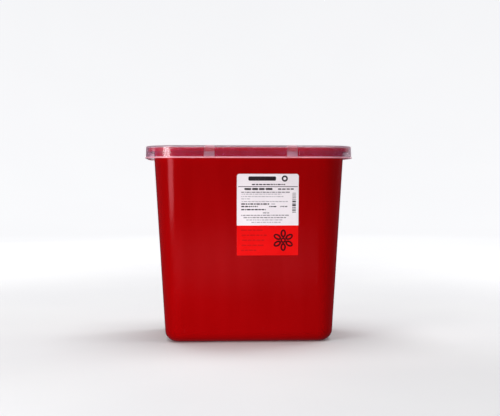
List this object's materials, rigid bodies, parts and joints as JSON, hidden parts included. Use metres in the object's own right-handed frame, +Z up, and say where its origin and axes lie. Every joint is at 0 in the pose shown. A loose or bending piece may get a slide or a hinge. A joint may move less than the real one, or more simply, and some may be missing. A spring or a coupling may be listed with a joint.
{
  "type": "sharps container",
  "caption": "Red drafted tub with rounded corners, a clear press-on lid, a clear rotor that turns to open, close and lock the drop opening, and a front label.",
  "frame": {"origin": "centre of the footprint, on the plane that the foot ring stands on", "axes": "+X along the width, to the right when facing the label; +Y from the labelled front to the back; +Z up"},
  "size_m": [0.2666, 0.1842, 0.251],
  "materials": {
    "red_polypropylene": "gloss red, moulded",
    "clear_polypropylene": "clear, faintly milky, moulded",
    "label_film": "satin printed film"
  },
  "bodies": {
    "container": {"tub": "red_polypropylene", "front_label": "label_film"},
    "lid": {"lid": "clear_polypropylene", "snap_catches": "clear_polypropylene"},
    "rotor": {"rotor": "clear_polypropylene"}
  },
  "joints": [
    {"name": "lid_lift", "type": "slide", "parent": "container", "child": "lid", "axis": [0, 0, 1], "range_m": [0, 0.08], "deforming": ["snap_catches"]},
    {"name": "rotor_turn", "type": "hinge", "parent": "lid", "child": "rotor", "pos_m": [0, 0, 0.246], "axis": [0, 0, 1], "range_deg": [-180, 12]}
  ]
}
